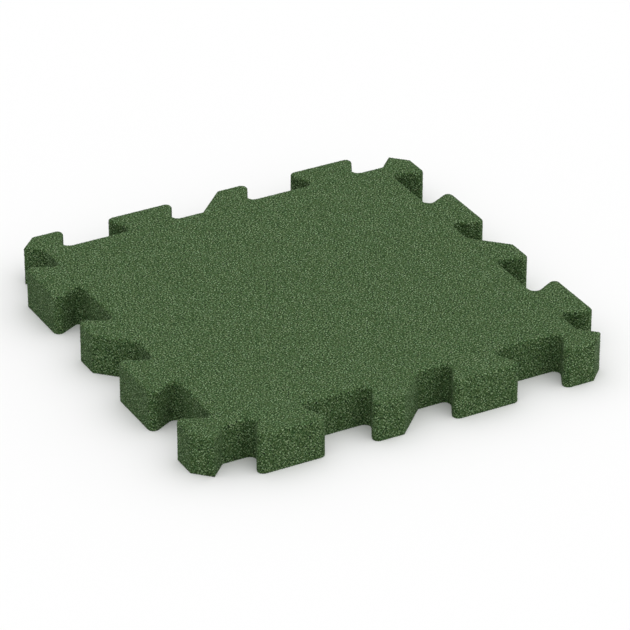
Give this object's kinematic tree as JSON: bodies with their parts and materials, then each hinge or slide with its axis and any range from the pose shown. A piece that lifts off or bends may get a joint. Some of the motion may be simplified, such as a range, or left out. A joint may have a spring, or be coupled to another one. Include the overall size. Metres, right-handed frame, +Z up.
{
  "type": "rubber safety tile",
  "caption": "Thick square safety floor tile of bonded rubber granulate whose dovetailed teeth and notches interlock with like tiles on every side.",
  "frame": {"origin": "middle of the underside, on the floor", "axes": "+Z up through the thickness, X and Y along the tile's sides, along which laid tiles repeat"},
  "size_m": [0.54, 0.54, 0.05],
  "materials": {
    "rubber_granulate": "matte"
  },
  "bodies": {
    "root": {"tile": "rubber_granulate"}
  },
  "joints": []
}
